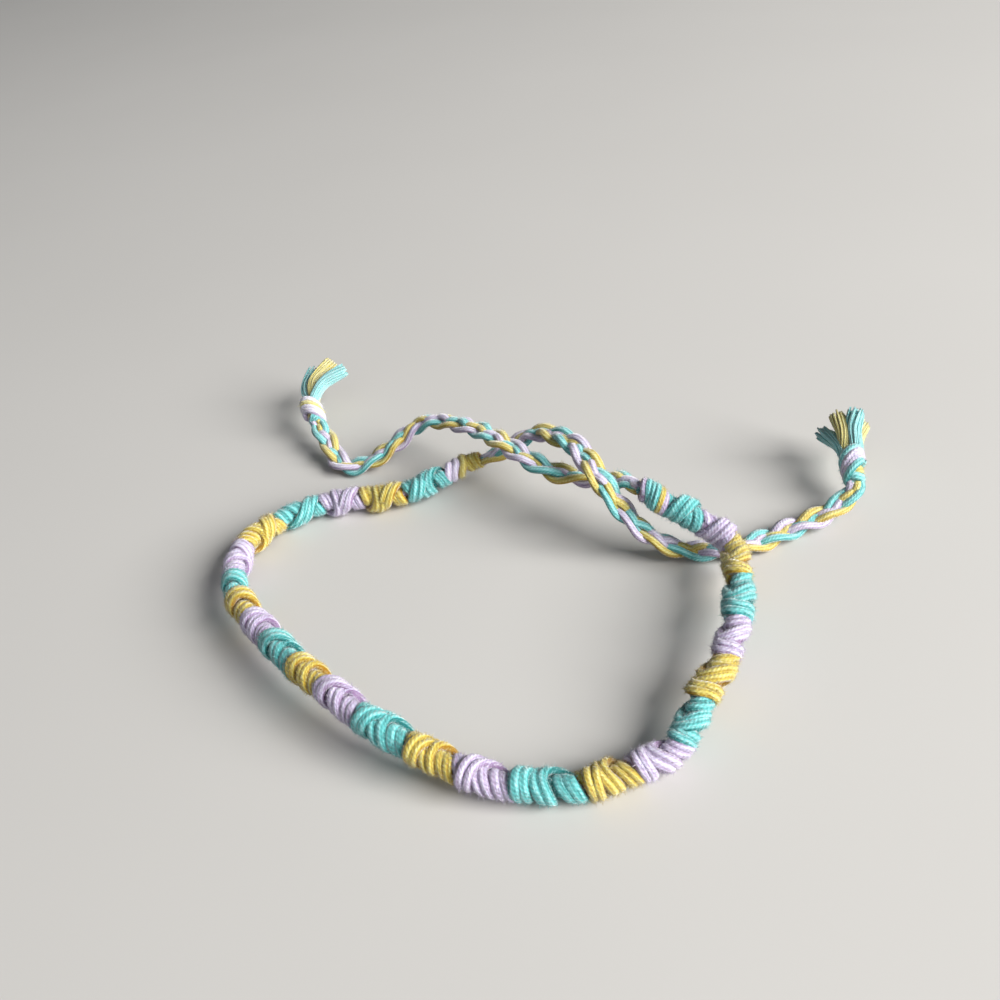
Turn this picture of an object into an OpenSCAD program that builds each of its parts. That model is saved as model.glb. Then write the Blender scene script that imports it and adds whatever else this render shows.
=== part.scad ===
// Knotted floss bracelet, lying open on a table: a round band of coloured knot blocks, laid in a
// loop, whose two ends run on as flat three-strand plaited ties. The ties cross over each other
// twice, then each ends in an overhand knot and a short tassel. X runs to the right, Y away from
// the viewer and Z up. The origin is on the table, under the middle of the whole outline.

/* [Band] */
// Thickness of the knotted band (mm)
band_d = 4; // [3.6:0.1:4.2]
// How far the wraps lean back over the band, as a slope
lean = 0.36; // [0:0.02:0.5]
// Length of band that one wrap of floss takes (mm)
wrap_pitch = 1.1; // [0.9:0.05:1.5]
// Thickness of the bundle of floss inside the band (mm)
core_d = 1.9; // [1.4:0.1:2]

/* [Ties] */
// Half the sideways swing of a plait's strands (mm)
swing = 1.15; // [1.1:0.01:1.3]
// Half the up and down swing of a plait's strands (mm)
lift = 0.78; // [0.74:0.01:0.9]
// Length of tie in which a strand comes back to the same side (mm)
plait_pitch = 12; // [11:0.5:14]
// Thickness of one plaited strand, which is a pair of floss threads (mm)
strand_d = 0.95; // [0.8:0.05:1]

/* [Ends] */
// Thickness of the knot at the end of a tie (mm)
tie_knot_d = 3.7; // [3:0.1:4]
// Thickness of one floss in a tassel (mm)
floss_d = 1.1; // [0.8:0.1:1.3]

/* [Hidden] */
$fn = 48;

gap = 0.1;
TEAL = [0.31, 0.75, 0.66];
YELLOW = [0.89, 0.70, 0.24];
LILAC = [0.79, 0.65, 0.81];
PALE = [0.86, 0.82, 0.74];

// The band is laid block by block from its left end, which is behind: round the left, along the
// front and up the right side. Each row is a block's length, the heading it lies at (degrees
// from X towards Y) and how much it climbs.
band_start = [-13.4, 12.7, 3];
blocks = [
  [6.5, -165, -0.8],
  [6.5, 174, -0.2],
  [5.9, 179, 0.1],
  [6.8, -157, 0.3],
  [6.5, -129, 0.6],
  [6.6, -96, 0.5],
  [5.0, -77, 0.3],
  [4.9, -64, 0.3],
  [5.3, -58, 0.4],
  [7.0, -57, 0.6],
  [5.3, -50, 0.1],
  [6.3, -50, -0.3],
  [7.1, -41, -0.8],
  [5.7, -34, -1.0],
  [6.0, -25, -0.9],
  [7.4, -11, -0.2],
  [5.6, 8, 0.1],
  [5.6, 17, 0.7],
  [5.9, 52, 1.0],
  [5.6, 49, 0.9],
  [5.5, 60, 0.5],
  [6.8, 71, -0.3],
  [6.8, 83, -0.2],
  [4.8, 134, 1.8],
  [5.1, 149, 2.0]
];

// The ties' middle lines, from the band's end knots to their own knots. The left end's tie is
// the one that crosses to the right. It goes under the other tie, then over it, comes down and
// lies on the table below the band.
left_tie_route = [
  [-7.2, 12.7, 4.7], [-5.4, 12.5, 5.5], [-2.9, 12.4, 6.6], [-0.6, 11.7, 8.2], [1.4, 9.8, 9.4],
  [2.8, 7.4, 10.2], [4.2, 4.6, 10.9], [5.2, 1.8, 11.1], [5.8, -0.8, 10.9], [6.6, -3, 10.2],
  [7.5, -4.8, 8.9], [8.8, -6.2, 7], [10.8, -7.8, 4.6], [13, -8.9, 2.9], [15.6, -9.7, 1.7],
  [18.6, -10.4, 1.3], [22.6, -10.8, 1.3], [26.6, -10.2, 1.3], [30.6, -9, 1.3],
  [34.2, -8.1, 1.5], [37.4, -6.9, 2.1], [39.6, -5.6, 3], [40.2, -4.2, 3.6]
];
right_tie_route = [
  [11.2, -4.8, 9.1], [10.1, -2.7, 8.6], [7.7, -0.4, 7.9], [4.6, 1, 7.7], [1.8, 2.4, 7.9],
  [-0.6, 4.4, 8.3], [-2.8, 7.2, 8.7], [-5, 10.6, 8.8], [-7.2, 14, 8.4], [-9.8, 17.4, 7.9],
  [-12.6, 20.2, 7.2], [-15.2, 22, 6.5], [-17.4, 22.5, 5.5], [-20.2, 21.8, 4], [-23, 21, 2.6],
  [-25.6, 20.8, 1.6], [-28, 21, 1.3], [-29.8, 22.7, 1.6], [-31.1, 26.1, 2.4],
  [-32.3, 29.3, 3.3], [-33.1, 31.5, 3.9]
];

function unit(v) = v / norm(v);

// Where a block starts, and the way it points.
function heading(i) = let (b = blocks[i], run = sqrt(b[0] * b[0] - b[2] * b[2]))
  [run * cos(b[1]), run * sin(b[1]), b[2]];
function joint(i) = i == 0 ? band_start : joint(i - 1) + heading(i - 1);
function bend(i) = i < 1 || i >= len(blocks) ? 0
  : acos(min(1, unit(heading(i - 1)) * unit(heading(i))));
// The room left at a joint, so that the blocks' inner edges don't meet where the band bends.
function room(i) = gap / 2 + 1.35 * tan(bend(i) / 2);

// A smooth line through the route's points: each span is a cubic that leaves and meets its ends
// along the line between their neighbours.
function at(p, i) = p[max(0, min(len(p) - 1, i))];
function span(p, i, t) = let (a = at(p, i - 1), b = at(p, i), c = at(p, i + 1), d = at(p, i + 2))
  0.5 * (2 * b + (c - a) * t + (2 * a - 5 * b + 4 * c - d) * t * t
    + (3 * b - a - 3 * c + d) * t * t * t);
function smooth(p, n) = [
  for (i = [0 : len(p) - 2], k = [0 : n - 1]) span(p, i, k / n),
  p[len(p) - 1]
];
// How far along the line each of its points is.
function run(p) = [
  for (i = 0, s = 0; i < len(p); s = s + (i + 1 < len(p) ? norm(p[i + 1] - p[i]) : 0), i = i + 1) s
];
function along(p, i) = unit(at(p, i + 1) - at(p, i - 1));
function aside(p, i) = unit(cross([0, 0, 1], along(p, i)));
function over(p, i) = cross(along(p, i), aside(p, i));

// One strand of a plait: it swings from side to side once a pitch and up and down twice, which
// takes it over one neighbour and under the next. The three strands are a third of a pitch apart.
function plait(p, third) = let (s = run(p)) [
  for (i = [0 : len(p) - 1])
    let (turn = 360 * (s[i] / plait_pitch + third / 3))
    p[i] + aside(p, i) * swing * sin(turn) + over(p, i) * lift * sin(2 * turn)
];

// A round tube with flat ends through a line of points.
module tube(p, d, sides) {
  n = len(p);
  rings = [
    for (i = [0 : n - 1], k = [0 : sides - 1])
      p[i] + d / 2 * (aside(p, i) * cos(360 * k / sides) + over(p, i) * sin(360 * k / sides))
  ];
  walls = [
    for (i = [0 : n - 2], k = [0 : sides - 1], half = [0, 1])
      let (a = i * sides + k, b = i * sides + (k + 1) % sides)
      half == 0 ? [a, b + sides, b] : [a, a + sides, b + sides]
  ];
  caps = [
    [for (k = [0 : sides - 1]) k],
    [for (k = [sides - 1 : -1 : 0]) (n - 1) * sides + k]
  ];
  polyhedron(rings, concat(walls, caps));
}

// Floss wound side by side round a bundle, lying along X: a scalloped barrel whose wraps lean.
module wound(length, d, bore_d, slope) {
  n = max(2, round(length / wrap_pitch));
  pitch = length / (n + 0.1);
  thread = 1.1 * pitch;
  multmatrix([[1, 0, -slope, 0], [0, 1, 0, 0], [0, 0, 1, 0], [0, 0, 0, 1]])
    rotate([0, 90, 0])
      rotate_extrude()
        difference() {
          union() {
            for (k = [0 : n - 1])
              translate([d / 2 - thread / 2 - (k == 0 || k == n - 1 ? 0.15 : 0), (k + 0.55) * pitch])
                circle(d = thread);
            translate([0, 0.55 * pitch])
              square([d / 2 - thread / 2 - 0.1, (n - 1) * pitch]);
          }
          translate([bore_d / 2 - 20, -20])
            square([20, 60]);
        }
}

// Puts what lies along X from the origin between two points instead.
module lay(from, to) {
  d = to - from;
  translate(from)
    rotate([0, -asin(d[2] / norm(d)), atan2(d[1], d[0])])
      children();
}

module block(i) {
  way = unit(heading(i));
  from = joint(i) + way * room(i);
  to = joint(i + 1) - way * room(i + 1);
  lay(from, to)
    wound(norm(to - from), band_d, core_d + 0.3, lean);
}

module knot(from, to, d, slope) {
  lay(from, to)
    wound(norm(to - from), d, 0.02, slope);
}

// One cut floss of a tassel: a straight piece, a bend and a rounded tip.
module lock(from, mid, tip) {
  for (ends = [[from, mid], [mid, tip]])
    hull()
      for (end = ends)
        translate(end)
          sphere(d = floss_d, $fn = 12);
}

module block_01_teal() { color(TEAL) block(0); }
module block_02_yellow() { color(YELLOW) block(1); }
module block_03_lilac() { color(LILAC) block(2); }
module block_04_teal() { color(TEAL) block(3); }
module block_05_yellow() { color(YELLOW) block(4); }
module block_06_lilac() { color(LILAC) block(5); }
module block_07_teal() { color(TEAL) block(6); }
module block_08_yellow() { color(YELLOW) block(7); }
module block_09_lilac() { color(LILAC) block(8); }
module block_10_teal() { color(TEAL) block(9); }
module block_11_yellow() { color(YELLOW) block(10); }
module block_12_lilac() { color(LILAC) block(11); }
module block_13_teal() { color(TEAL) block(12); }
module block_14_yellow() { color(YELLOW) block(13); }
module block_15_lilac() { color(LILAC) block(14); }
module block_16_teal() { color(TEAL) block(15); }
module block_17_yellow() { color(YELLOW) block(16); }
module block_18_lilac() { color(LILAC) block(17); }
module block_19_teal() { color(TEAL) block(18); }
module block_20_yellow() { color(YELLOW) block(19); }
module block_21_lilac() { color(LILAC) block(20); }
module block_22_teal() { color(TEAL) block(21); }
module block_23_yellow() { color(YELLOW) block(22); }
module block_24_lilac() { color(LILAC) block(23); }
module block_25_teal() { color(TEAL) block(24); }

// The floss that the blocks are knotted round, from one end knot to the other.
module core_strands() {
  n = len(blocks);
  first = joint(0) + unit(heading(0)) * 0.5;
  last = joint(n) - unit(heading(n - 1)) * 0.5;
  color(PALE)
    tube([first, for (i = [1 : n - 1]) joint(i), last], core_d, 10);
}

// Where the band's end knots finish. Their wraps lean the same way as the band's.
left_knot_end = [-10.5, 13.5, 3.7];
right_knot_end = [11.5, -5.5, 9.3];

module left_end_knot() {
  to = joint(0);
  way = unit(to - left_knot_end);
  color(LILAC)
    knot(left_knot_end, to - way * gap * 2, 3.5, lean);
}

module left_end_wrap() {
  way = unit(left_knot_end - left_tie_route[0]);
  color(YELLOW)
    knot(left_tie_route[0] + way * 0.6, left_knot_end - way * 0.7, 3, lean);
}

module right_end_knot() {
  from = joint(len(blocks));
  way = unit(right_knot_end - from);
  color(TEAL)
    knot(from + way * 0.5, right_knot_end - way * gap, 3.4, lean);
}

module tie_strand(route, third) {
  tube(plait(smooth(route, 3), third), strand_d, 8);
}

module left_tie_strand_1() { color(TEAL) tie_strand(left_tie_route, 0); }
module left_tie_strand_2() { color(YELLOW) tie_strand(left_tie_route, 1); }
module left_tie_strand_3() { color(LILAC) tie_strand(left_tie_route, 2); }
module right_tie_strand_1() { color(TEAL) tie_strand(right_tie_route, 0); }
module right_tie_strand_2() { color(YELLOW) tie_strand(right_tie_route, 1); }
module right_tie_strand_3() { color(LILAC) tie_strand(right_tie_route, 2); }

// Each tie's own knot starts just past the tie's end, and its tassel just past the knot.
left_tie_knot_ends = [[40.3, -3.8, 3.8], [40.7, -1, 5]];
right_tie_knot_ends = [[-33.2, 31.9, 4], [-34, 34.7, 5]];

module left_tie_knot() {
  color(LILAC)
    knot(left_tie_knot_ends[0], left_tie_knot_ends[1], tie_knot_d, 0);
}

module right_tie_knot() {
  color(LILAC)
    knot(right_tie_knot_ends[0], right_tie_knot_ends[1], tie_knot_d, 0);
}

module tassel(ends, mids, tips) {
  way = unit(ends[1] - ends[0]);
  head = ends[1] + way * (1 + gap);
  hull()
    for (s = [0, 0.7])
      translate(head + way * s)
        sphere(r = 1 - s / 5, $fn = 12);
  for (i = [0 : len(tips) - 1])
    lock(head, mids[i], tips[i]);
}

module left_tie_tassel() {
  color(TEAL)
    tassel(left_tie_knot_ends,
      [[40.2, 2.1, 4.8], [41.1, 2.5, 6.2], [42.2, 2.3, 6.6], [42.6, 1.9, 5.4]],
      [[39.4, 6.5, 4], [41.2, 6.3, 6.8], [43.6, 5.1, 7.9], [44.3, 4.5, 5.8]]);
}

module right_tie_tassel() {
  color(TEAL)
    tassel(right_tie_knot_ends,
      [[-34.6, 38.7, 5.4], [-33.2, 38.9, 6.4], [-32, 38.3, 6.2], [-31.4, 37.3, 7]],
      [[-33.4, 43.7, 6], [-30.1, 43.4, 7.3], [-28.6, 41.5, 6.4], [-27.5, 39.1, 7.9]]);
}

block_01_teal();
block_02_yellow();
block_03_lilac();
block_04_teal();
block_05_yellow();
block_06_lilac();
block_07_teal();
block_08_yellow();
block_09_lilac();
block_10_teal();
block_11_yellow();
block_12_lilac();
block_13_teal();
block_14_yellow();
block_15_lilac();
block_16_teal();
block_17_yellow();
block_18_lilac();
block_19_teal();
block_20_yellow();
block_21_lilac();
block_22_teal();
block_23_yellow();
block_24_lilac();
block_25_teal();
core_strands();
left_end_knot();
left_end_wrap();
right_end_knot();
left_tie_strand_1();
left_tie_strand_2();
left_tie_strand_3();
right_tie_strand_1();
right_tie_strand_2();
right_tie_strand_3();
left_tie_knot();
right_tie_knot();
left_tie_tassel();
right_tie_tassel();
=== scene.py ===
# %% [markdown]
# # A knotted floss bracelet
# A round band of half-hitched cotton floss lies in an open loop on a floor. Its colours repeat
# teal, yellow, lilac. The two ends run on as flat plaited ties, which cross each other twice, and
# each tie ends in an overhand knot and a short tassel.
#
# The CAD frame carries the plain solids. This lesson lays the real floss on them: the hitches of
# every block, the plies of every plaited strand, the knots, the tassels and the stray fibres.
# Lengths on the bracelet are written in millimetres, as on the CAD model, and turned into metres
# where a piece's mesh is made.

import bpy
import numpy as np
from mathutils import Matrix, Vector


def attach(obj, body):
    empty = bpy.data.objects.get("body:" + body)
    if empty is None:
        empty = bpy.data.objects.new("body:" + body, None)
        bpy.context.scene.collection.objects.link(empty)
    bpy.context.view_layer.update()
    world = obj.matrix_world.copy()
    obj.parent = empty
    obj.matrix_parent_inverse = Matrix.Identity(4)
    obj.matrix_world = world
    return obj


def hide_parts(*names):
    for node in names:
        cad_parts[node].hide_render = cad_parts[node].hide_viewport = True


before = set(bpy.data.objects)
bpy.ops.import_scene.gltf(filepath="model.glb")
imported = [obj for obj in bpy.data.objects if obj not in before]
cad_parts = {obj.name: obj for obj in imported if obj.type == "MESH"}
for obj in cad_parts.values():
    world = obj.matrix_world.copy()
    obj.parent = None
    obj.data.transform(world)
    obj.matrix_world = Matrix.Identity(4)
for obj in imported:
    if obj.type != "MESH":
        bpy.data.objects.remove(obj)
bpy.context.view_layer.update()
MM = 0.001
scene = bpy.context.scene

# %% [markdown]
# ## Camera
# The photograph is taken by hand from about 9 cm above the floor, looking down and a little
# tilted. The camera's place and its three axes were worked out from the picture's perspective and
# the shape of the loop: 39 degrees down, rolled by almost 10 degrees, with a lens as long as its
# sensor is wide.

# %% The photograph's camera
DOWN, ROLL = np.radians(38.7), np.radians(9.7)
CAMERA_AT = Vector((-6.4, -103.8, 90))
SENSOR = 36
ahead = np.array([0, np.cos(DOWN), -np.sin(DOWN)])
level = np.array([1.0, 0, 0])
below = np.cross(ahead, level)
image_x = np.cos(ROLL) * level + np.sin(ROLL) * below
image_down = -np.sin(ROLL) * level + np.cos(ROLL) * below
lens = bpy.data.cameras.new("photo_camera")
lens.sensor_width = lens.lens = SENSOR
lens.clip_start, lens.clip_end = 0.005, 10
camera = bpy.data.objects.new("photo_camera", lens)
turn = Matrix([image_x, -image_down, -ahead]).transposed().to_4x4()
camera.matrix_world = Matrix.Translation(CAMERA_AT * MM) @ turn
scene.collection.objects.link(camera)
scene.camera = camera
print("camera looks along", np.round(ahead, 3))

# %% [markdown]
# ## Floor and light
# A plain pale floor, with the soft light of a large window at the right and a little to the
# front, about 31 degrees up. It puts a soft shadow to the left of the band, and the floss throws a
# little of its colour onto the floor on its lit side. A weak light from the front and a dim sky
# fill the shadows.

# %% A plain pale floor
FLOOR_TONES = {"A": (0.61, 0.597, 0.575, 1), "B": (0.645, 0.632, 0.61, 1)}
FLOOR_HALF = 3
CLOUDS_PER_M = 14


def node_material(name):
    """An empty node material with its output: returns the material, its nodes and its links."""
    material = bpy.data.materials.new(name)
    material.use_nodes = True
    nodes, links = material.node_tree.nodes, material.node_tree.links
    nodes.clear()
    return material, nodes, links


floor_material, nodes, links = node_material("pale_floor")
output = nodes.new("ShaderNodeOutputMaterial")
surface = nodes.new("ShaderNodeBsdfPrincipled")
place = nodes.new("ShaderNodeTexCoord")
clouds = nodes.new("ShaderNodeTexNoise")
tint = nodes.new("ShaderNodeMix")
tint.data_type = "RGBA"
clouds.inputs["Scale"].default_value = CLOUDS_PER_M
for socket, tone in FLOOR_TONES.items():
    tint.inputs[socket].default_value = tone
surface.inputs["Roughness"].default_value = 0.75
links.new(place.outputs["Object"], clouds.inputs["Vector"])
links.new(clouds.outputs["Fac"], tint.inputs["Factor"])
links.new(tint.outputs["Result"], surface.inputs["Base Color"])
links.new(surface.outputs["BSDF"], output.inputs["Surface"])

floor_mesh = bpy.data.meshes.new("floor")
floor_corners = [(x * FLOOR_HALF, y * FLOOR_HALF, 0) for x, y in ((-1, -1), (1, -1), (1, 1), (-1, 1))]
floor_mesh.from_pydata(floor_corners, [], [(0, 1, 2, 3)])
floor_mesh.materials.append(floor_material)
floor = bpy.data.objects.new("floor", floor_mesh)
scene.collection.objects.link(floor)
print("floor", 2 * FLOOR_HALF, "m wide")

# %% Window light and sky
SKY_COLOUR, SKY_STRENGTH = (0.80, 0.86, 0.95, 1), 0.10


def window(name, at, size, watts, colour):
    """A square area light at a point in metres, turned to face the bracelet's middle."""
    light = bpy.data.lights.new(name, "AREA")
    light.shape, light.size, light.energy, light.color = "SQUARE", size, watts, colour
    holder = bpy.data.objects.new(name, light)
    holder.location = at
    holder.rotation_euler = (-Vector(at)).to_track_quat("-Z", "Y").to_euler()
    scene.collection.objects.link(holder)


window("window_light", at=(0.944, -0.545, 0.655), size=0.80, watts=33.0, colour=(1.0, 0.985, 0.96))
window("room_light", at=(-0.30, -1.05, 1.00), size=1.20, watts=2.0, colour=(0.93, 0.96, 1.0))
sky = bpy.data.worlds.new("room")
sky.use_nodes = True
sky.node_tree.nodes["Background"].inputs["Color"].default_value = SKY_COLOUR
sky.node_tree.nodes["Background"].inputs["Strength"].default_value = SKY_STRENGTH
scene.world = sky
scene.view_settings.view_transform = "Standard"

# %% [markdown]
# ## Cotton floss
# Embroidery floss is six fine plies laid side by side with a slack twist, and each ply is twisted
# from fibres much more finely, so that it looks beaded. It is matt to silky, and the dye varies a
# little along the length. One node group draws this from each piece's own UV, in which U is the
# length along the floss in millimetres and V goes once round it. The group also paints light and
# shade into the colour: a soft pale painted highlight on each ply, which its own twist breaks up,
# and on the floss's outer side, and painted shade in the furrows between plies and on the floss's
# flanks, where its neighbours press.

# %% The floss look, one group for every colour
PLIES, TWIST = 6, 0.14  # plies in a floss, and the turns they make in a millimetre
FINE_TWIST = 2.3  # turns that the fibres of a ply make in a millimetre
FIBRES_ALONG, FIBRES_ROUND, FIBRE_DETAIL, FIBRE_ROUGH = 0.9, 2.0, 6, 0.68
STRAY = 0.75  # how far the fibres push a ply aside, as a share of its width


def floss_group():
    """Ply streaks: a wave of the angle round the floss plus a slow turn along it, pushed aside by
    a noise stretched along the length and broken up by the plies' own fine twist, a second wave.
    It gives colour, with painted highlight and painted shade in it, roughness and bump height."""
    group = bpy.data.node_groups.new("floss_look", "ShaderNodeTree")
    face = group.interface
    for name, value in (
        ("Colour", (0.5, 0.5, 0.5, 1)),
        ("Painted shade tone", (0.2, 0.2, 0.2, 1)),
        ("Painted highlight tone", (0.9, 0.9, 0.9, 1)),
    ):
        face.new_socket(name, in_out="INPUT", socket_type="NodeSocketColor").default_value = value
    for name, value in (("Plies", PLIES), ("Turns per mm", TWIST)):
        face.new_socket(name, in_out="INPUT", socket_type="NodeSocketFloat").default_value = value
    face.new_socket("Colour", in_out="OUTPUT", socket_type="NodeSocketColor")
    face.new_socket("Roughness", in_out="OUTPUT", socket_type="NodeSocketFloat")
    face.new_socket("Height", in_out="OUTPUT", socket_type="NodeSocketFloat")
    nodes, links = group.nodes, group.links
    given, out = nodes.new("NodeGroupInput"), nodes.new("NodeGroupOutput")

    def maths(kind, a, b=0.0):
        node = nodes.new("ShaderNodeMath")
        node.operation = kind
        for socket, value in zip(node.inputs, (a, b)):
            if isinstance(value, (int, float)):
                socket.default_value = value
            else:
                links.new(value, socket)
        return node.outputs[0]

    def noise(x, y, z):
        where = nodes.new("ShaderNodeCombineXYZ")
        for socket, value in zip(where.inputs, (x, y, z)):
            links.new(value, socket)
        node = nodes.new("ShaderNodeTexNoise")
        node.inputs["Scale"].default_value = 1.0
        node.inputs["Detail"].default_value = FIBRE_DETAIL
        node.inputs["Roughness"].default_value = FIBRE_ROUGH
        links.new(where.outputs[0], node.inputs["Vector"])
        return node.outputs["Fac"]

    def blend(factor, a, b):
        node = nodes.new("ShaderNodeMix")
        node.data_type = "RGBA"
        links.new(factor, node.inputs["Factor"])
        links.new(a, node.inputs["A"])
        links.new(b, node.inputs["B"])
        return node.outputs["Result"]

    def ramp(value, low, high):
        node = nodes.new("ShaderNodeMapRange")
        node.interpolation_type = "SMOOTHSTEP"
        node.inputs["From Min"].default_value = low
        node.inputs["From Max"].default_value = high
        links.new(value, node.inputs["Value"])
        return node.outputs["Result"]

    def wave(turns):
        return maths("COSINE", maths("MULTIPLY", turns, float(2 * np.pi)))

    def half_up(value):
        return maths("ADD", maths("MULTIPLY", value, 0.5), 0.5)

    def times(value, factor):
        return maths("MULTIPLY", value, factor)

    uv = nodes.new("ShaderNodeUVMap")
    uv.uv_map = "floss"
    parts = nodes.new("ShaderNodeSeparateXYZ")
    links.new(uv.outputs["UV"], parts.inputs[0])
    u, v = parts.outputs["X"], parts.outputs["Y"]
    round_x = wave(v)
    round_y = maths("SINE", times(v, float(2 * np.pi)))
    fibres = noise(times(u, FIBRES_ALONG), times(round_x, FIBRES_ROUND), times(round_y, FIBRES_ROUND))
    angle = maths("ADD", times(v, given.outputs["Plies"]), times(u, given.outputs["Turns per mm"]))
    strayed = maths("ADD", angle, times(fibres, STRAY))
    ply = half_up(wave(strayed))
    grain = half_up(wave(maths("ADD", times(u, FINE_TWIST), strayed)))

    # Painted highlight: paler on fibres that stand up on a ply and between its fine turns, and on the
    # floss's outer side.
    highlight_streak = times(ramp(fibres, 0.42, 0.66), ramp(ply, 0.35, 1.0))
    highlight_streak = times(highlight_streak, maths("ADD", times(grain, 0.8), 0.2))
    painted_crest_highlight = times(ramp(round_x, 0.45, 1.0), maths("ADD", times(ply, 0.16), 0.05))
    light = maths("MINIMUM", maths("ADD", times(highlight_streak, 0.75), painted_crest_highlight), 1.0)

    # Painted shade: darker between plies, between fibres, between fine turns, and on the floss's
    # flanks, where neighbours press.
    painted_flank_shade = times(ramp(round_x, 0.75, -0.10), 0.88)
    painted_furrow_shade = maths("ADD", times(ramp(ply, 0.60, 0.0), 0.48), times(ramp(fibres, 0.52, 0.30), 0.50))
    painted_furrow_shade = maths("ADD", painted_furrow_shade, times(ramp(grain, 0.5, 0.0), 0.22))
    painted_furrow_shade = maths("MINIMUM", maths("ADD", painted_furrow_shade, painted_flank_shade), 1.0)

    # The painted shade darkens the colour, then the painted highlight pales it.
    colour = blend(painted_furrow_shade, given.outputs["Colour"], given.outputs["Painted shade tone"])
    colour = blend(light, colour, given.outputs["Painted highlight tone"])
    links.new(colour, out.inputs["Colour"])
    links.new(maths("SUBTRACT", 0.82, times(highlight_streak, 0.16)), out.inputs["Roughness"])
    height = maths("ADD", maths("ADD", times(ply, 0.5), fibres), times(grain, 0.32))
    links.new(height, out.inputs["Height"])
    return group


floss_look = floss_group()
print("floss look", len(floss_look.nodes), "nodes")

# %% Floss as a soft surface
SOFT_SURFACE = {
    "Subsurface Weight": 0.2, "Subsurface Radius": (1.0, 0.8, 0.6), "Subsurface Scale": 0.35 * MM,
    "Sheen Weight": 0.9, "Sheen Roughness": 0.4, "Specular IOR Level": 0.25,
}
FINE_BUMP = {"Strength": 0.9, "Distance": 0.13 * MM}


def floss_material(name, colour, deep, pale):
    """One colour of floss: the shared look, with its painted highlight and shade, into a soft, sheeny
    surface with a fine bump.
    """
    material, nodes, links = node_material(name)
    output = nodes.new("ShaderNodeOutputMaterial")
    surface = nodes.new("ShaderNodeBsdfPrincipled")
    look = nodes.new("ShaderNodeGroup")
    look.node_tree = floss_look
    bump = nodes.new("ShaderNodeBump")
    for socket, value in (("Colour", colour), ("Painted shade tone", deep), ("Painted highlight tone", pale)):
        look.inputs[socket].default_value = (*value, 1)
    for node, values in ((bump, FINE_BUMP), (surface, SOFT_SURFACE)):
        for socket, value in values.items():
            node.inputs[socket].default_value = value
    links.new(look.outputs["Colour"], surface.inputs["Base Color"])
    links.new(look.outputs["Roughness"], surface.inputs["Roughness"])
    links.new(look.outputs["Height"], bump.inputs["Height"])
    links.new(bump.outputs["Normal"], surface.inputs["Normal"])
    links.new(surface.outputs["BSDF"], output.inputs["Surface"])
    return material


# %% The three dyes, with their painted shade and highlight colours
# Each dye's colour, its painted shade colour for the furrows and flanks, and its painted highlight
# colour for the streaks and outer side.
DYES_WITH_PAINTED_LIGHT = {
    "teal": ((0.15, 0.65, 0.65), (0.012, 0.19, 0.19), (0.58, 0.96, 0.97)),
    "yellow": ((0.71, 0.59, 0.09), (0.37, 0.185, 0.006), (0.93, 0.90, 0.48)),
    "lilac": ((0.70, 0.63, 0.86), (0.31, 0.20, 0.36), (0.92, 0.91, 0.99)),
}


def dyed(suffix, paler):
    """The three dyes' materials, made paler by a share: the colour moves so far towards the painted
    highlight colour, and the painted shade colour towards the colour."""
    made = {}
    for name, (colour, deep, pale) in DYES_WITH_PAINTED_LIGHT.items():
        colour, deep, pale = (np.array(c) for c in (colour, deep, pale))
        made[name] = floss_material(
            f"{name}_{suffix}", colour + (pale - colour) * paler, deep + (colour - deep) * paler, pale)
    return made


# The tie and cut copies are paler, so their painted shade between flosses is weaker.
FLOSS, TIE_FLOSS, CUT_FLOSS = dyed("floss", 0.0), dyed("tie_floss", 0.30), dyed("cut_floss", 0.78)
print("floss colours", sorted(FLOSS))

# %% [markdown]
# ## Lines and rods
# Everything here is floss laid along a line: round the band, along a plait, through a knot. The
# lines are smooth curves through a few points, the same points as on the CAD model. A rod is a
# grid of points, one way along the line and the other way round it, closed at both ends.

# %% Smooth lines and the directions along them
SPAN = 16  # steps that a line has from one of its given points to the next


def unit(v):
    """The vectors, each divided by its own length."""
    return v / np.linalg.norm(v, axis=-1, keepdims=True)


def smooth_line(points):
    """The cubic through the points that leaves each one along the line between its neighbours,
    at even steps of its parameter in every span."""
    p = np.asarray(points, float)
    p = np.vstack([p[:1], p, p[-1:]])
    a, b, c, d = (p[k : k + len(p) - 3, None] for k in range(4))
    t = (np.arange(SPAN) / SPAN)[None, :, None]
    spans = 0.5 * (
        2 * b + (c - a) * t + (2 * a - 5 * b + 4 * c - d) * t**2 + (3 * b - a - 3 * c + d) * t**3
    )
    return np.vstack([spans.reshape(-1, 3), p[-1:]])


def route(points, spare=4.0):
    """A smooth line with its running length in mm and, at each of its points, the directions
    along it, to its left on the level, and over it. Both ends are run on straight by spare mm."""
    p = smooth_line(points)
    before, after = unit(p[1:2] - p[:1]) * spare, unit(p[-1:] - p[-2:-1]) * spare
    p = np.vstack([p[:1] - before, p, p[-1:] + after])
    s = np.concatenate([[0], np.cumsum(np.linalg.norm(np.diff(p, axis=0), axis=1))]) - spare
    along = unit(np.gradient(p, s, axis=0))
    aside = unit(np.cross([0, 0, 1.0], along))
    return {"s": s, "p": p, "along": along, "aside": aside, "over": np.cross(along, aside),
            "length": s[-1] - spare}


def at(line, key, s):
    """A route's point or direction at running lengths s, straight between its own points."""
    v = np.stack([np.interp(s, line["s"], line[key][:, k]) for k in range(3)], axis=-1)
    return v if key == "p" else unit(v)


def beside(line, s, aside, over):
    """Points at running lengths s, moved to the left and up by the given distances."""
    return (at(line, "p", s) + at(line, "aside", s) * np.asarray(aside)[..., None]
            + at(line, "over", s) * np.asarray(over)[..., None])


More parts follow.
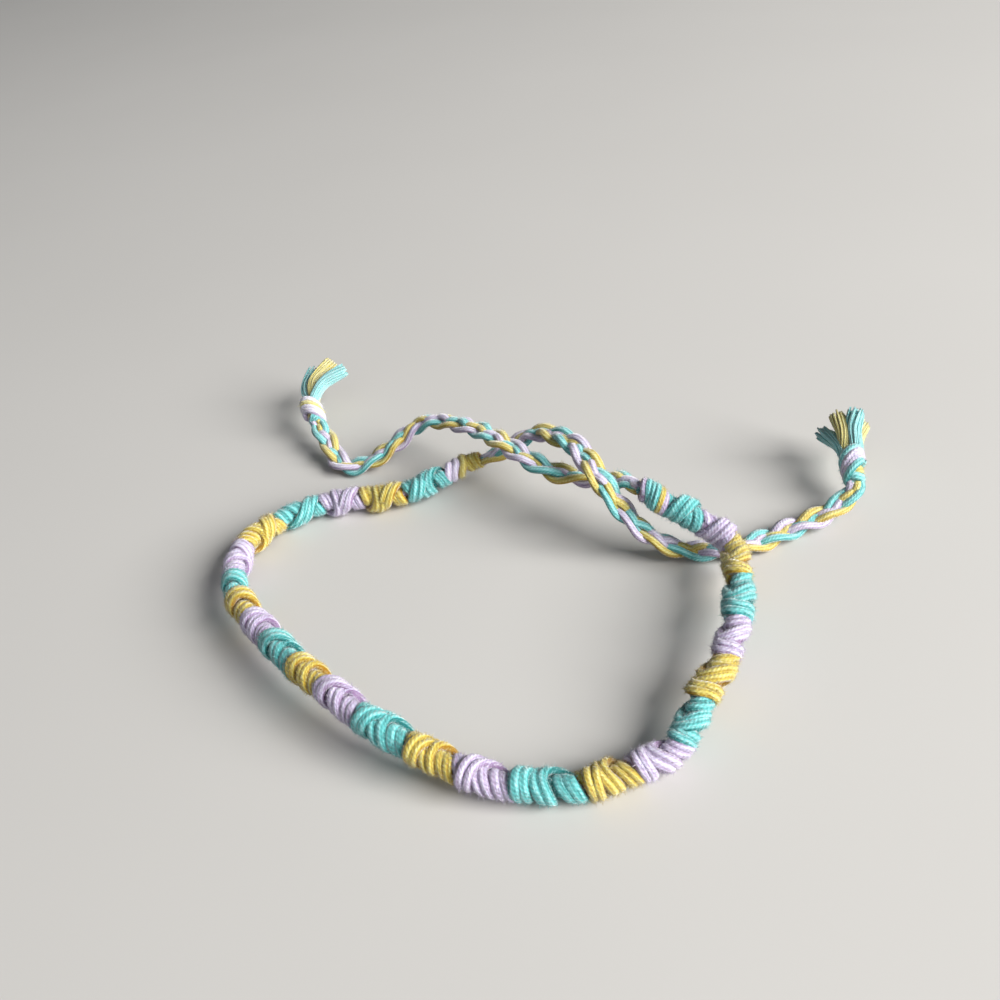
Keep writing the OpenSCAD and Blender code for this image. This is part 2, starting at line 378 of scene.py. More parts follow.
# %% Softened corners and eased steps
def soften(values, steps):
    """A running mean over an odd number of steps, with the ends held, so that corners round off."""
    pad = steps // 2
    padded = np.concatenate([np.repeat(values[:1], pad, 0), values, np.repeat(values[-1:], pad, 0)])
    total = np.cumsum(np.concatenate([np.zeros_like(padded[:1]), padded]), axis=0)
    return (total[2 * pad + 1 :] - total[: -2 * pad - 1]) / (2 * pad + 1)


def ease(x):
    """0 to 1 with level ends: 3x² - 2x³, held outside 0 to 1."""
    x = np.clip(x, 0, 1)
    return x * x * (3 - 2 * x)


# %% The band's middle line
# Block by block, as on the CAD model: a block's length, the heading it lies at (degrees from X
# towards Y) and how much it climbs.
BLOCKS = np.array([
    [6.5, -165, -0.8], [6.5, 174, -0.2], [5.9, 179, 0.1], [6.8, -157, 0.3], [6.5, -129, 0.6],
    [6.6, -96, 0.5], [5.0, -77, 0.3], [4.9, -64, 0.3], [5.3, -58, 0.4], [7.0, -57, 0.6],
    [5.3, -50, 0.1], [6.3, -50, -0.3], [7.1, -41, -0.8], [5.7, -34, -1.0], [6.0, -25, -0.9],
    [7.4, -11, -0.2], [5.6, 8, 0.1], [5.6, 17, 0.7], [5.9, 52, 1.0], [5.6, 49, 0.9],
    [5.5, 60, 0.5], [6.8, 71, -0.3], [6.8, 83, -0.2], [4.8, 134, 1.8], [5.1, 149, 2.0],
])
BAND_START = np.array([-13.4, 12.7, 3.0])
level_run = np.sqrt(BLOCKS[:, 0] ** 2 - BLOCKS[:, 2] ** 2)
bearing = np.radians(BLOCKS[:, 1])
steps = np.stack([level_run * np.cos(bearing), level_run * np.sin(bearing), BLOCKS[:, 2]], axis=1)
joints = BAND_START + np.vstack([np.zeros(3), np.cumsum(steps, axis=0)])
band = route(joints)
joint_at = np.array([band["s"][SPAN * k + 1] for k in range(len(joints))])
print("band", round(band["length"], 1), "mm long, blocks", len(BLOCKS))

# %% Rods of floss
def rods(path, out, wide, thick, sides=16, plies=PLIES, depth=0.09, turns=TWIST):
    """Closed rods along several lines at once, path[k, i] being point i of line k. Point (i, j) of
    a rod is its line's point i plus thick·cos a outwards and wide·sin a sideways, where
    a = 2π·j / sides, both swelled by 1 + depth·cos(plies·a + 2π·turns·length). A point on the
    line's axis closes each end. Returns points, quads, triangles and the UV of their corners."""
    path = np.asarray(path, float)
    count, n, _ = path.shape
    wide, thick = (np.broadcast_to(x, (count, n))[..., None, None] for x in (wide, thick))
    length = np.linalg.norm(np.diff(path, axis=1), axis=2)
    u = np.concatenate([np.zeros((count, 1)), np.cumsum(length, axis=1)], axis=1)
    ahead = unit(np.gradient(path, axis=1))
    out = np.broadcast_to(out, path.shape)
    out = unit(out - ahead * (out * ahead).sum(-1, keepdims=True))
    side = np.cross(ahead, out)
    a = 2 * np.pi * np.arange(sides) / sides
    swell = (1 + depth * np.cos(plies * a + 2 * np.pi * turns * u[..., None]))[..., None]
    ring = (path[:, :, None] + out[:, :, None] * thick * np.cos(a)[:, None] * swell
            + side[:, :, None] * wide * np.sin(a)[:, None] * swell)
    poles = np.stack([path[:, 0], path[:, -1]], axis=1)
    points = np.concatenate([ring.reshape(count, -1, 3), poles], axis=1)
    base = (np.arange(count) * (n * sides + 2))[:, None, None]
    i, j = np.arange(n - 1)[:, None], np.arange(sides)[None, :]
    next_j = (j + 1) % sides
    quads = np.stack(np.broadcast_arrays(
        base + i * sides + j, base + i * sides + next_j,
        base + (i + 1) * sides + next_j, base + (i + 1) * sides + j), axis=-1)
    j, next_j, base = j[0], next_j[0], base[:, 0]
    first, last = base + n * sides, base + n * sides + 1
    tris = np.stack([
        np.stack(np.broadcast_arrays(first, base + next_j, base + j), axis=-1),
        np.stack(np.broadcast_arrays(
            last, base + (n - 1) * sides + j, base + (n - 1) * sides + next_j), axis=-1),
    ], axis=1)
    low, high = u[:, :-1, None] + 0 * j, u[:, 1:, None] + 0 * j
    v0, v1 = (np.broadcast_to((j + k) / sides, low.shape) for k in (0, 1))
    quad_uv = np.stack([np.stack(pair, -1) for pair in (
        (low, v0), (low, v1), (high, v1), (high, v0))], axis=-2)
    end = np.stack([u[:, 0], u[:, -1]], axis=1)[:, :, None] + 0 * j
    w0, w1 = (np.broadcast_to((j + k) / sides, end.shape) for k in (0, 1))
    tri_uv = np.stack([np.stack([end, (w0 + w1) / 2], -1), np.stack([end, w1], -1),
                       np.stack([end, w0], -1)], axis=-2)
    tri_uv[:, 1, :, [1, 2]] = tri_uv[:, 1, :, [2, 1]]
    return points.reshape(-1, 3), quads.reshape(-1, 4), tris.reshape(-1, 3), quad_uv, tri_uv


# %% Stray fibres
HAIR, HAIR_R, ROOT = 0.75, 0.026, 0.04  # a stray fibre's greatest length, thickness and depth
FLOOR_GAP = 0.03  # least height over the floor


def fuzz(shell, count):
    """Stray fibres on rods: each is a three-sided spike from a random point of the rods' outer
    half, outwards with a random slant, mostly short: HAIR·x³ for x even between 0.4 and 1. Each
    has one colour of the floss, its U growing from fibre to fibre and its V near the outer side,
    so that it takes part of the painted highlight there."""
    points, turn = shell[0], 2 * np.pi * shell[3].reshape(-1, 4, 2)[:, 0, 1]
    outer = shell[1][np.cos(turn) > 0.1]
    near = outer[rng.choice(len(outer), count)]
    a, b, c = points[near[:, 0]], points[near[:, 1]], points[near[:, 3]]
    facing = np.cross(b - a, c - a)
    facing = facing / np.maximum(np.linalg.norm(facing, axis=1, keepdims=True), 1e-9)
    way = unit(facing * rng.uniform(0.4, 1.0, (count, 1)) + rng.normal(0, 0.5, (count, 3)))
    length = HAIR * rng.uniform(0.4, 1.0, (count, 1)) ** 3
    side = unit(np.cross(way, np.roll(way, 1, axis=1)))
    up = np.cross(way, side)
    a = a + (b - a) * rng.uniform(0, 1, (count, 1)) - facing * ROOT
    foot = [a + HAIR_R * (np.cos(w) * side + np.sin(w) * up) for w in 2 * np.pi * np.arange(3) / 3]
    spike = np.stack([*foot, a + way * length], axis=1)
    spike[..., 2] = np.maximum(spike[..., 2], FLOOR_GAP)
    faces = np.array([[0, 1, 3], [1, 2, 3], [2, 0, 3], [0, 2, 1]])
    tris = (4 * np.arange(count)[:, None, None] + faces).reshape(-1, 3)
    k = np.arange(count)
    uv = np.stack([0.37 * k, 0.10 + 0.12 * (0.618 * k % 1)], axis=1)
    uv = np.repeat(uv, faces.size, axis=0).reshape(-1, 3, 2)
    return spike.reshape(-1, 3), np.zeros((0, 4), int), tris, np.zeros(0), uv


# %% A piece of the model
def piece(name, shells, material, stands_for, hairs=0):
    """One object from several rods' meshes, in metres, shaded smooth, riding on the only body and
    standing for some of the CAD model's nodes. So many stray fibres stand on its first rods."""
    if hairs:
        shells = [*shells, fuzz(shells[0], hairs)]
    start = np.cumsum([0] + [len(s[0]) for s in shells])
    points = np.concatenate([s[0] for s in shells]) * MM
    quads = np.concatenate([s[1] + k for s, k in zip(shells, start)])
    tris = np.concatenate([s[2] + k for s, k in zip(shells, start)])
    corners = np.concatenate([quads.ravel(), tris.ravel()]).astype(np.int32)
    uv = np.concatenate([s[3].ravel() for s in shells] + [s[4].ravel() for s in shells])
    faces = len(quads) + len(tris)
    begin = np.concatenate([np.arange(len(quads)) * 4, len(quads) * 4 + np.arange(len(tris)) * 3])
    mesh = bpy.data.meshes.new(name)
    mesh.vertices.add(len(points))
    mesh.vertices.foreach_set("co", points.ravel())
    mesh.loops.add(len(corners))
    mesh.loops.foreach_set("vertex_index", corners)
    mesh.polygons.add(faces)
    mesh.polygons.foreach_set("loop_start", begin.astype(np.int32))
    mesh.polygons.foreach_set("use_smooth", np.ones(faces, bool))
    mesh.uv_layers.new(name="floss").data.foreach_set("uv", uv)
    mesh.update(calc_edges=True)
    mesh.materials.append(material)
    obj = bpy.data.objects.new(name, mesh)
    scene.collection.objects.link(obj)
    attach(obj, "root")
    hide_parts(*stands_for)
    return obj


def triangles(obj):
    """How many triangles a piece has: two fewer than corners in each face."""
    return len(obj.data.loops) - 2 * len(obj.data.polygons)


# %% [markdown]
# ## The band's half hitches
# The band is tied from one end to the other. One colour's two flosses are the working pair; the
# others lie still inside as the core. Every hitch takes the pair once round the core and under
# its own start, so that its start lies over its end as a diagonal lump. These lumps make a ridge,
# which moves round the band a little with every hitch, while elsewhere the wraps lie side by side
# and lean. After three or so hitches the next colour takes over.
#
# Each block is made from the working pair's real path: the angle round the core grows by a turn
# and a bit per hitch, the place along the band leaps forward in the lump and drifts back in the
# wrap, and the distance from the core's axis rises where the pair crosses over itself. A plain
# bundle inside each block stands for the floss that shows in the gaps; it is painted in its
# colour's shade all over, as painted shade for the gaps between the wraps.

# %% The working pair's path
rng = np.random.default_rng(25)
RINGS = 50  # rings of points in a turn
LEAP, TURN = 75, 380  # degrees of a later turn's leap, and of the whole of that turn
RUN_ON = 0.16  # how far the pair runs on past its last turn, as a share of a turn
DIVE, DIVE_SHARE = 0.8, 0.12  # how deep the pair's tips dive, and in what share of a turn
WAIST = 0.40  # how much lower the wraps lie at the two ends of a block
ROUND_OFF = 9  # rings over which a path's corners are rounded off


def wander(t, step, size):
    """A smooth random value along t: normal draws of that size every step, joined by straight
    lines whose corners a running mean rounds off."""
    knots = np.arange(t[0], t[-1] + 2 * step, step)
    draws = rng.normal(0, size, len(knots))
    return soften(np.interp(t, knots, draws), 2 * int(0.25 * len(t) * step / (t[-1] - t[0])) + 1)


def hitches(begin, end, turns, ridge, arch, reach, tilt_at, tilt, fan, lift, wrap_r):
    """The middle of the working pair for so many turns between two running lengths of the band.
    Each turn lies in a tilted plane: its place along is shifted by -tilt·radius·cos(angle -
    tilt_at). The first turn is plain. Each later one begins with a leap across the ridge, which
    goes forward while its radius rises by lift·sin², and drifts back in the rest. The first leap
    is an arch, so wide and so far forward as given. A fan of 1 fades the tilt to a fifth in the
    first turn and at the end. Towards both ends the radius falls by WAIST·x³, where x goes from 0
    in the block's middle to 1 at its ends, and the tips of the pair dive inside. Returns the
    running length, the angle and the radius at every ring."""
    deg = np.pi / 180
    pitch = (end - begin) / turns
    start = ridge + (arch - 40) * deg
    # The path's angles at its knots, its places along (in turns) at other times, and its leaps.
    knots, angles = [0, 1], [start + 340 * deg, start]
    times, places, leaps = [0, 0.5, 1], [0.52, 0.45, 0.28], []
    for k in range(1, turns):
        arc = (arch if k == 1 else LEAP) * deg
        turn = (320 + arch if k == 1 else TURN) * deg
        past = reach if k == 1 else k + 0.75
        short = 0.05 if k == turns - 1 else 0.12
        knots.append(k + 1)
        angles.append(angles[-1] - turn)
        # Halfway through its leap the pair has gone 0.4 of the way to its farthest place, and in
        # the rest of the turn it drifts back to the turn's own middle.
        times += [k + 0.5 * arc / turn, k + arc / turn, k + 0.9, k + 1]
        places += [0.6 * places[-1] + 0.4 * past, past, k + 0.5 - short, k + 0.5]
        leaps.append((k, arc / turn))
    knots.append(turns + RUN_ON)
    angles.append(angles[-1] - TURN * deg * RUN_ON)
    t = np.linspace(0, turns + RUN_ON, RINGS * turns + 1)
    angle = np.interp(t, knots, angles)
    place = np.interp(t, times + [turns + RUN_ON], places + [turns - 0.45])
    place = soften(place, ROUND_OFF)
    raised = sum(lift * np.sin(np.pi * np.clip((t - k) / (0.95 * w), 0, 1)) ** 2 for k, w in leaps)
    dive = DIVE * (1 - ease(t / DIVE_SHARE)) + DIVE * (1 - ease((t[-1] - t) / DIVE_SHARE))
    waist = WAIST * np.abs(2 * t / turns - 1) ** 3
    radius = wrap_r + raised - dive - waist + wander(t, 0.4, 0.09)
    faded = fan * np.interp(t, [0.8, 1.3, turns - 0.5, turns], [0.8, 0, 0, 0.8])
    tilted = tilt * (1 - faded) * radius * np.cos(angle - tilt_at)
    s = begin + pitch * (place + wander(t, 0.5, 0.06)) - tilted
    return tuple(soften(q, ROUND_OFF) for q in (s, angle, radius))


# %% Flosses side by side, above the floor
def side_by_side(line, s, angle, radius, spacing, count=2, crown=0.0):
    """Flosses lying side by side: each is the middle line moved across its own direction, wanders
    a little, and the outer ones lie lower by crown. Returns their lines and the directions
    outwards, which is away from the core's axis."""
    middle = beside(line, s, radius * np.cos(angle), radius * np.sin(angle))
    out = at(line, "aside", s) * np.cos(angle)[:, None] + at(line, "over", s) * np.sin(angle)[:, None]
    ahead = unit(np.gradient(middle, axis=0))
    out = unit(out - ahead * (out * ahead).sum(-1, keepdims=True))
    across = np.cross(ahead, out)
    t = np.linspace(0, len(s) / RINGS, len(s))
    paths = []
    for k in range(count):
        place = (2 * k + 1) / count - 1
        shift = spacing * place * count / 2 + wander(t, 0.3, 0.06)
        lower = crown * place**2 * np.sin(np.pi * np.linspace(0, 1, len(s)))
        paths.append(middle + across * shift[:, None] + out * (wander(t, 0.3, 0.05) - lower)[:, None])
    return np.stack(paths), np.stack([out] * count)


def above_floor(paths, half):
    """The lines pressed up so that floss of that half thickness, a tenth more at its plies, rests
    on the floor and not in it."""
    paths[..., 2] = np.maximum(paths[..., 2], 1.1 * half + FLOOR_GAP)
    return paths


def ends_taper(n, start=0.55, rings=12):
    """1 along a rod, falling to start over the rings next to both ends."""
    k = np.arange(n)
    return start + (1 - start) * ease(np.minimum(k, n - 1 - k) / rings)


# %% How each block was tied
# Each block as seen: where its ridge lies round the band (degrees from its left side over the
# top), how wide its arch is (degrees) and how far forward it reaches (turns), and how far apart
# its two flosses lie (turns).
LAID = np.array([
    [75, 110, 1.9, 0.36], [15, 130, 2.0, 0.36], [5, 150, 2.1, 0.36], [-5, 140, 2.5, 0.36],
    [5, 140, 2.2, 0.36], [15, 140, 2.2, 0.36], [40, 120, 1.5, 0.38], [45, 120, 1.5, 0.38],
    [50, 130, 2.0, 0.38], [45, 130, 2.4, 0.38], [45, 120, 2.0, 0.38], [40, 110, 2.5, 0.38],
    [50, 150, 1.9, 0.38], [60, 160, 1.7, 0.38], [45, 165, 2.2, 0.46], [50, 150, 1.3, 0.34],
    [60, 150, 1.5, 0.42], [70, 110, 1.5, 0.38], [50, 75, 1.6, 0.40], [45, 75, 1.6, 0.38],
    [50, 75, 1.6, 0.42], [55, 75, 1.6, 0.42], [50, 90, 1.7, 0.36], [85, 110, 1.4, 0.42],
    [100, 110, 1.4, 0.42],
])
# The tilt of the wraps changes slowly along the band: its direction, its size and its fan.
row = np.arange(len(BLOCKS))
TILT_AT = np.interp(row, [0, 4, 7, 13, 17, 24], [-60, -45, 20, 55, 25, 20])
TILT = np.interp(row, [0, 7, 13, 16, 18, 22, 24], [0.40, 0.45, 0.50, 0.65, 1.35, 1.30, 0.60])
FAN = np.interp(row, [16, 18, 22, 23], [0, 1, 1, 0])
print("arches", LAID[:, 1].min(), "to", LAID[:, 1].max(), "degrees wide")

# %% The blocks
COLOURS = ["teal", "yellow", "lilac"]
TURN_LENGTH = 2.1  # mm of band that a hitch takes
FLOSS_WIDE, FLOSS_THICK = 0.57, 0.48  # half a floss's width and thickness
WRAP_R = 1.24  # from the core's axis to the middle of a wrap
BUNDLE_R, BUNDLE_END = 1.0, 0.35  # a bundle's radius, and how far it stops short of its block
HAIRS = 1200  # stray fibres on a turn
band_pieces = []
for k, (begin, end) in enumerate(zip(joint_at[:-1], joint_at[1:])):
    colour = COLOURS[k % 3]
    turns = int(np.clip(round((end - begin) / TURN_LENGTH), 2, 3))
    pitch = (end - begin) / turns
    ridge, arch, reach, apart = LAID[k]
    s, angle, radius = hitches(
        begin, end, turns, np.radians(ridge), arch, reach, np.radians(TILT_AT[k]), TILT[k], FAN[k],
        lift=0.65 - 0.2 * FAN[k], wrap_r=WRAP_R + rng.normal(0, 0.06))
    spacing = pitch * (apart + rng.uniform(-0.02, 0.02))
    paths, out = side_by_side(band, s, angle, radius, spacing)
    t = np.linspace(0, turns, len(s))
    swell = np.stack([1 + wander(t, 0.3, 0.08), 1 + wander(t, 0.3, 0.08)]) * ends_taper(len(s))
    wide = FLOSS_WIDE * (1.38 - 0.8 * apart) * pitch / TURN_LENGTH * swell
    pair = rods(above_floor(paths, FLOSS_THICK), out, wide, FLOSS_THICK, sides=18, depth=0.10)
    s = np.linspace(begin + BUNDLE_END, end - BUNDLE_END, 16)
    bundle = rods(at(band, "p", s)[None], at(band, "over", s)[None], BUNDLE_R, BUNDLE_R,
                  sides=18, plies=9, turns=0.5)
    bundle[3][..., 1] = 0.5  # V of a floss's inner side, where the look paints full shade: the bundle is painted shade all over
    name = f"block_{k + 1:02d}_{colour}"
    band_pieces.append(piece(name + "_floss", [pair, bundle], FLOSS[colour],
                             [name], hairs=HAIRS * turns))
print("band blocks", len(band_pieces), "triangles", sum(triangles(o) for o in band_pieces))

# %% [markdown]
# ## The core
# The flosses that aren't working run on through the band, turning slowly round each other. They
# show only as specks of another colour where two blocks meet.

# %% Three flosses through the band
CORE_R, CORE_TURN, CORE_STEP = 0.42, 15, 0.4  # radius, length of a turn, step along
s = np.arange(CORE_STEP, band["length"] - CORE_STEP, CORE_STEP)
for k, colour in enumerate(COLOURS):
    angle = 2 * np.pi * (s / CORE_TURN + k / 3)
    path = beside(band, s, CORE_R * np.cos(angle), CORE_R * np.sin(angle))
    core = rods(path[None], at(band, "over", s)[None], CORE_R, CORE_R, sides=10)
    piece(f"core_{colour}", [core], FLOSS[colour], ["core_strands"])
print("core", len(COLOURS), "flosses, a turn in", CORE_TURN, "mm")

# %% [markdown]
# ## The band's end knots
# Before and after the blocks, the flosses are tied round each other in one last wrap, so that the
# ties start from a firm end. Several colours lie side by side there.

# %% Flosses wound round a line
TIP_R, TIP_DIVE = 0.15, 0.18  # how near the line a wrap's tips end, and the share of a turn it takes
CLOSE = 0.95  # how close the flosses of a wrap lie, as a share of even spacing


def wrapped(name, line, colours, node, begin, end, turns, radius, lean, lean_at, wide, thick,
            ridge, crown=0.0, floss=FLOSS):
    """Flosses of several colours wound side by side round a line between two running lengths, as
    hitches whose leap is low: one piece for each colour. The place along is shifted by
    -lean·radius·cos(angle - lean_at), and the ends dive to the line."""
    s = np.linspace(0, 1, 60 * turns + 1)
    angle = ridge - 2 * np.pi * turns * s
    reach = begin + (end - begin) * (s * (turns - 1) / turns + 0.5 / turns)
    inside = 2 - ease(s * turns / TIP_DIVE) - ease((1 - s) * turns / TIP_DIVE)
    r = radius - (radius - TIP_R) * inside + wander(s * turns, 0.4, 0.04)
    place = reach - lean * r * np.cos(angle - lean_at)
    spacing = (end - begin) / turns / len(colours) * CLOSE
    paths, out = side_by_side(line, place, angle, r, spacing, len(colours), crown)
    for colour in sorted(set(colours)):
        mine = [k for k, c in enumerate(colours) if c == colour]
        shell = rods(above_floor(paths[mine], thick), out[mine], wide * ends_taper(len(s)), thick)
        piece(f"{name}_{colour}", [shell], floss[colour], [node], hairs=500)


# %% The middle lines of the ties and of the band's two ends
# Points on them, as on the CAD model.
LEFT_KNOT_END, RIGHT_KNOT_END = np.array([-10.5, 13.5, 3.7]), np.array([11.5, -5.5, 9.3])
LEFT_TIE = np.array([
    [-7.2, 12.7, 4.7], [-5.4, 12.5, 5.5], [-2.9, 12.4, 6.6], [-0.6, 11.7, 8.2], [1.4, 9.8, 9.4],
    [2.8, 7.4, 10.2], [4.2, 4.6, 10.9], [5.2, 1.8, 11.1], [5.8, -0.8, 10.9], [6.6, -3, 10.2],
    [7.5, -4.8, 8.9], [8.8, -6.2, 7], [10.8, -7.8, 4.6], [13, -8.9, 2.9], [15.6, -9.7, 1.7],
    [18.6, -10.4, 1.3], [22.6, -10.8, 1.3], [26.6, -10.2, 1.3], [30.6, -9, 1.3], [34.2, -8.1, 1.5],
    [37.4, -6.9, 2.1], [39.6, -5.6, 3], [40.2, -4.2, 3.6],
])
RIGHT_TIE = np.array([
    [11.2, -4.8, 9.1], [10.1, -2.7, 8.6], [7.7, -0.4, 7.9], [4.6, 1, 7.7], [1.8, 2.4, 7.9],
    [-0.6, 4.4, 8.3], [-2.8, 7.2, 8.7], [-5, 10.6, 8.8], [-7.2, 14, 8.4], [-9.8, 17.4, 7.9],
    [-12.6, 20.2, 7.2], [-15.2, 22, 6.5], [-17.4, 22.5, 5.5], [-20.2, 21.8, 4], [-23, 21, 2.6],
    [-25.6, 20.8, 1.6], [-28, 21, 1.3], [-29.8, 22.7, 1.6], [-31.1, 26.1, 2.4], [-32.3, 29.3, 3.3],
    [-33.1, 31.5, 3.9],
])
before_band = route([joints[0], (joints[0] + LEFT_KNOT_END) / 2, LEFT_KNOT_END, LEFT_TIE[0]])
after_band = route([joints[-1], (joints[-1] + RIGHT_KNOT_END) / 2, RIGHT_KNOT_END])
print("ends of the band", round(before_band["length"], 1), "and", round(after_band["length"], 1), "mm")

# %% End knots
wrapped("left_end_knot", before_band, ["lilac", "lilac", "yellow"], "left_end_knot",
        begin=-0.3, end=3.1, turns=1, radius=1.10, lean=0.70, lean_at=-2.2, wide=0.56, thick=0.48,
        ridge=-0.6, crown=0.2, floss=TIE_FLOSS)
wrapped("left_end_wrap", before_band, ["yellow"], "left_end_wrap",
        begin=2.7, end=6.2, turns=3, radius=0.80, lean=0.60, lean_at=0.9, wide=0.60, thick=0.46,
        ridge=-0.6)
wrapped("right_end_knot", after_band, ["lilac", "yellow", "teal", "teal", "teal", "lilac"],
        "right_end_knot", begin=-0.35, end=after_band["length"] - 0.2, turns=1,
        radius=1.35, lean=0.60, lean_at=0.2, wide=0.50, thick=0.46, ridge=4.9, crown=0.70)
print("end knots of", len(TIE_FLOSS), "colours")

# %% [markdown]
# ## The plaited ties
# Past the end knots the six flosses are sorted into three pairs and plaited flat. A pair swings
# from side to side once in 12 mm, and crosses over one neighbour and under the next. The two
# flosses of a pair lie beside each other and roll a little, so that now one and now the other
# colour comes to the top.

# %% Plaits
PLAIT_PITCH, SWING, RISE = 12, 0.70, 0.42  # a swing: its length, its reach aside, and up
PAIR_HALF = 0.41  # from the middle of a pair to the middle of each floss
TIE_THICK, TIE_FLAT = 0.42, 1.28  # half a floss's thickness, and how much wider it is
TIE_REST = 0.46  # half the thickness with which it rests on the floor
DRAWN_IN, DRAW_LENGTH = 0.35, 3.5  # share of the swing at a tie's ends, and the length it grows in
INTO_KNOT, TIE_STEP = 0.8, 0.3  # how far the pairs run on into both knots, and the step along
PAIR_ROLL, ROLL_LENGTH = 0.45, 17  # a pair's greatest roll (radians), and the length it repeats in
PAIRS = [("teal", "lilac"), ("yellow", "teal"), ("lilac", "yellow")]


def plait(name, points):
    """Three pairs along a tie: pair k is at a = 2π(s / pitch + k / 3), swing·sin a to the side and
    rise·sin 2a up, and draws in at both ends of the tie. Its two flosses sit on either side of
    that line, rolled by a slow wave."""
    line = route(points)
    s = np.arange(-INTO_KNOT, line["length"] + INTO_KNOT, TIE_STEP)
    for k, colours in enumerate(PAIRS):
        a = 2 * np.pi * (s / PLAIT_PITCH + k / 3)
        from_end = np.minimum(s, line["length"] - s)
        near = DRAWN_IN + (1 - DRAWN_IN) * ease(from_end / DRAW_LENGTH)
        middle = beside(line, s, near * SWING * np.sin(a), near * RISE * np.sin(2 * a))
        ahead = unit(np.gradient(middle, axis=0))
        out = at(line, "over", s)
        out = unit(out - ahead * (out * ahead).sum(-1, keepdims=True))
        across = np.cross(ahead, out)
        roll = PAIR_ROLL * np.sin(2 * np.pi * s / ROLL_LENGTH + 2 * k) + wander(s, 4.0, 0.15)
        side = across * np.cos(roll)[:, None] + out * np.sin(roll)[:, None]
        for hand, colour in zip((-1, 1), colours):
            path = middle + side * (hand * PAIR_HALF + wander(s, 2.0, 0.03))[:, None]
            path = above_floor(path, TIE_REST)
            thick = TIE_THICK * (1 + wander(s, 1.5, 0.05))
            floss = rods(path[None], out[None], thick[None] * TIE_FLAT, thick[None], depth=0.12)
            node = f"{name}_strand_{k + 1}"
            piece(f"{node}_{colour}", [floss], TIE_FLOSS[colour], [node],
                  hairs=1000)
    print(name, round(line["length"], 1), "mm long")


plait("left_tie", LEFT_TIE)
plait("right_tie", RIGHT_TIE)

# %% [markdown]
# ## Knots and tassels at the ties' ends
# Each tie is closed with an overhand knot of all six flosses, which shows two or three fat
# slanting wraps. Past it the flosses are cut short, and their plies spread and fray.

# %% Tie knots
LEFT_KNOT, RIGHT_KNOT = ([[40.3, -3.8, 3.8], [40.7, -1, 5]], [[-33.2, 31.9, 4], [-34, 34.7, 5]])
for name, ends, colours, floss, lean_at in (
    ("left_tie_knot", LEFT_KNOT, ["teal", "lilac", "lilac", "teal"], TIE_FLOSS, -0.6),
    ("right_tie_knot", RIGHT_KNOT, ["lilac", "lilac", "yellow", "lilac"], CUT_FLOSS, 3.4),
):
    a, b = np.array(ends)
    line = route([a, (a + b) / 2, b])
    wrapped(name, line, colours, name, begin=0.2, end=line["length"] - 0.1, turns=1,
            radius=1.25, lean=1.0, lean_at=lean_at, wide=0.54, thick=0.48, ridge=4.2, crown=0.30,
            floss=floss)
    wrapped(name + "_under", line, ["teal", "yellow", "lilac", "teal"], name,
            begin=-0.9, end=line["length"] + 0.5, turns=1, radius=0.75, lean=-0.3, lean_at=lean_at,
            wide=0.62, thick=0.50, ridge=0.4, floss=TIE_FLOSS)
    print(name, round(line["length"], 1), "mm long")

# %% Tassels
LOCK_STEPS = 18
PLY_RINGS = ((16, 1.0), (9, 0.62), (4, 0.28))  # how many plies, and how far out in the lock
PLY_R, CUT = 0.18, 0.7  # half a ply's thickness, and the most by which one is shorter
LOCK_R, LOCK_SWELL, LOCK_TURN = 0.66, 0.27, 1.2  # a lock's radius, its growth and its turn
HEART_R, HEART_SWELL = 0.64, 0.25  # the same of its heart
HEART_STOP = 1.3  # how far before the lock's tip its heart ends


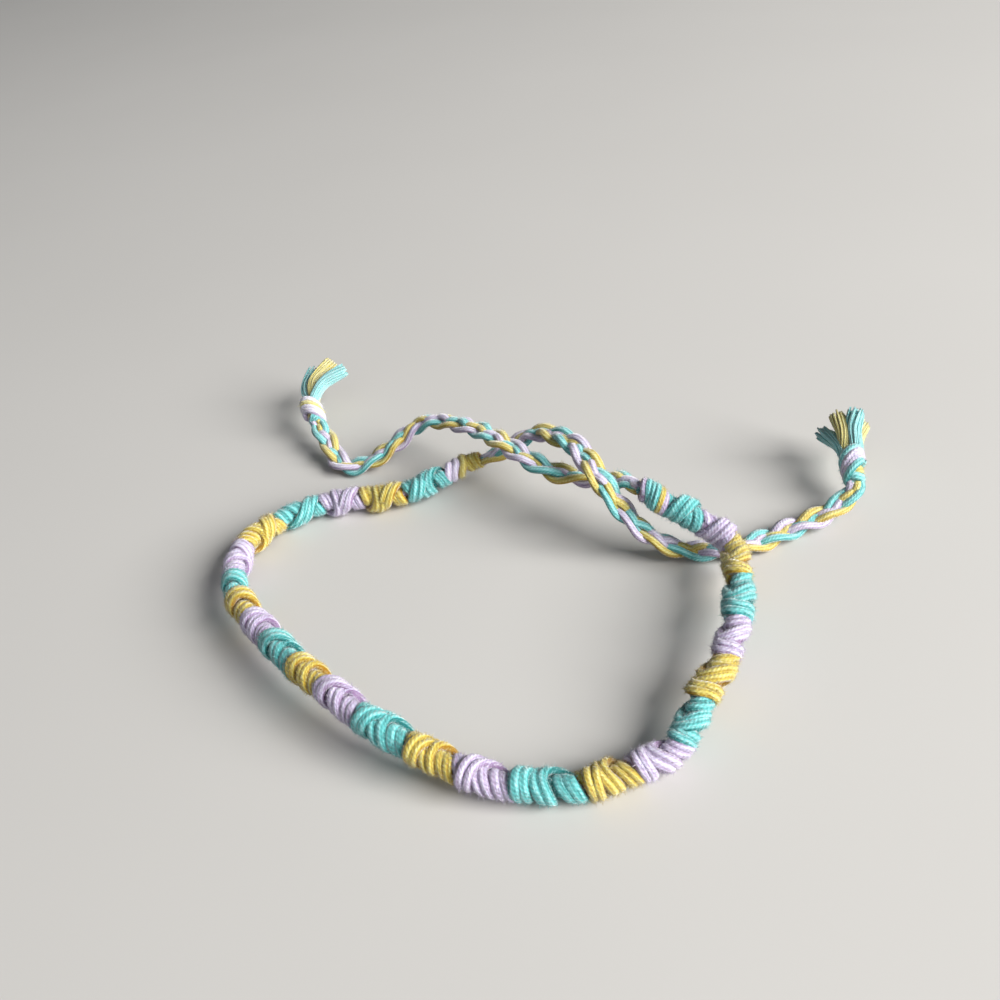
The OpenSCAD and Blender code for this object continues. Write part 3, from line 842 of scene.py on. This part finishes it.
def tassel(name, ends, mids, tips, colours):
    """Each cut lock runs from inside the knot through its bend to its tip: a ribbed heart, which
    stops short, and fine plies round it and past it in three rings. On the way to the tip the
    radius grows by LOCK_SWELL by ease, and the rings turn by LOCK_TURN radians."""
    a, b = np.array(ends, float)
    way = unit(b - a)
    head = b + way * 1.1
    spin = 2 * np.pi * np.concatenate([np.arange(count) / count for count, _ in PLY_RINGS])
    ring = np.concatenate([[[out]] * count for count, out in PLY_RINGS])
    plies = len(spin)
    for k, (mid, tip, colour) in enumerate(zip(mids, tips, colours)):
        lean_out = np.array(mid) - head
        lean_out = unit(lean_out - way * (lean_out @ way)) * 0.95
        line = route([b - way * 0.8 + lean_out * 0.6, b + way * 0.5 + lean_out, mid, tip])
        s = np.linspace(0, line["length"] - HEART_STOP, LOCK_STEPS)
        full = HEART_R + HEART_SWELL * ease(s / line["length"] * 1.1)
        heart = rods(beside(line, s, 0, 0)[None], at(line, "over", s)[None], full[None], full[None],
                     sides=18, plies=9, depth=0.10, turns=0.05)
        length = (line["length"] - rng.uniform(0, CUT, plies))[:, None]
        reach = np.linspace(0, 1, LOCK_STEPS)[None] * length
        share = reach / line["length"]
        radius = ring * (LOCK_R + LOCK_SWELL * ease(share * 1.1))
        radius = radius + rng.normal(0, 0.07, plies)[:, None] * share
        turn = spin[:, None] + LOCK_TURN * share + rng.normal(0, 0.16, plies)[:, None] * share / ring
        paths = beside(line, reach, radius * np.cos(turn), radius * np.sin(turn))
        thick = PLY_R * (1 - 0.30 * ease((share - 0.85) / 0.15))
        radial = (at(line, "aside", reach) * np.cos(turn)[..., None]
                  + at(line, "over", reach) * np.sin(turn)[..., None])
        fringe = rods(above_floor(paths, 0.15), radial, thick, thick, sides=8)
        piece(f"{name}_{k + 1}_{colour}", [fringe, heart], CUT_FLOSS[colour], [name],
              hairs=500)
    print(name, len(tips), "locks of", plies, "plies")


tassel("left_tie_tassel", LEFT_KNOT,
       [[40.2, 2.1, 4.8], [41.1, 2.5, 6.2], [42.2, 2.3, 6.6], [42.6, 1.9, 5.4]],
       [[39.4, 6.5, 4], [41.2, 6.3, 6.8], [43.6, 5.1, 7.9], [44.3, 4.5, 5.8]],
       ["teal", "yellow", "teal", "yellow"])
tassel("right_tie_tassel", RIGHT_KNOT,
       [[-34.6, 38.7, 5.4], [-33.2, 38.9, 6.4], [-32, 38.3, 6.2], [-31.4, 37.3, 7]],
       [[-33.4, 43.7, 6], [-30.1, 43.4, 7.3], [-28.6, 41.5, 6.4], [-27.5, 39.1, 7.9]],
       ["teal", "yellow", "yellow", "teal"])
